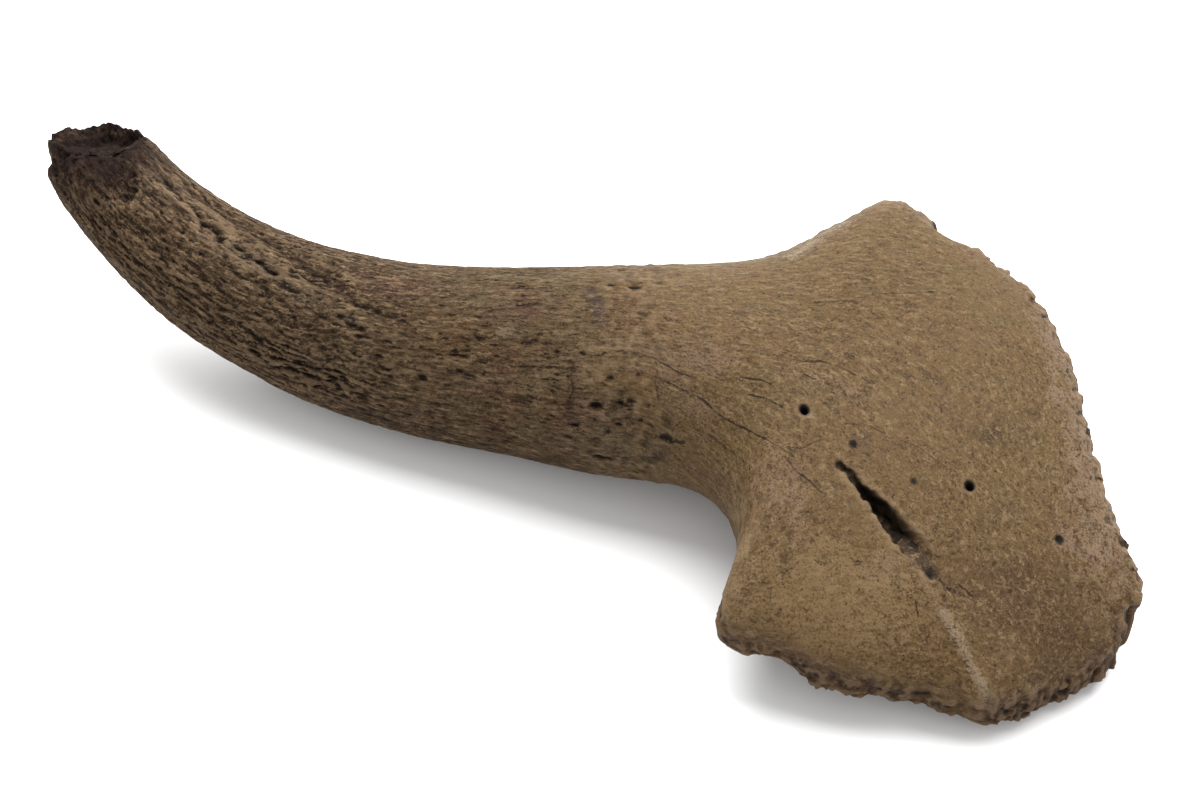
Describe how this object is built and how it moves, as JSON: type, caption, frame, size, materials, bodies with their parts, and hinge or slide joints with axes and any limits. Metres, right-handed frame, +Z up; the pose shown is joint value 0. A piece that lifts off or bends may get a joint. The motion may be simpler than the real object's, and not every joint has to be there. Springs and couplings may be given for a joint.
{
  "type": "bison horn core with frontal bone",
  "caption": "Bison horn core, its tip broken off, fused to the right half of the frontal bone; it lies on its broken, sinus-pitted underside.",
  "frame": {"origin": "bottom centre of the bounding box, on the floor that the bone lies on", "axes": "+X from the broken tip of the horn core towards the midline of the skull, +Y towards the back of the skull, +Z up, out of the forehead's outer face"},
  "size_m": [0.552, 0.3286, 0.1078],
  "materials": {
    "horn_core_bone": "matt dark brown bone, grooved along its length",
    "pedicle_bone": "matt brown bone, rough and pitted",
    "frontal_bone": "slightly polished tan bone with fine grain and cracks",
    "orbital_bone": "matt brown bone with broken edges",
    "crest_bone": "slightly polished light tan bone"
  },
  "bodies": {
    "root": {"horn_core": "horn_core_bone", "pedicle": "pedicle_bone", "frontal_plate": "frontal_bone", "orbital_rim": "orbital_bone", "nuchal_crest": "crest_bone"}
  },
  "joints": []
}
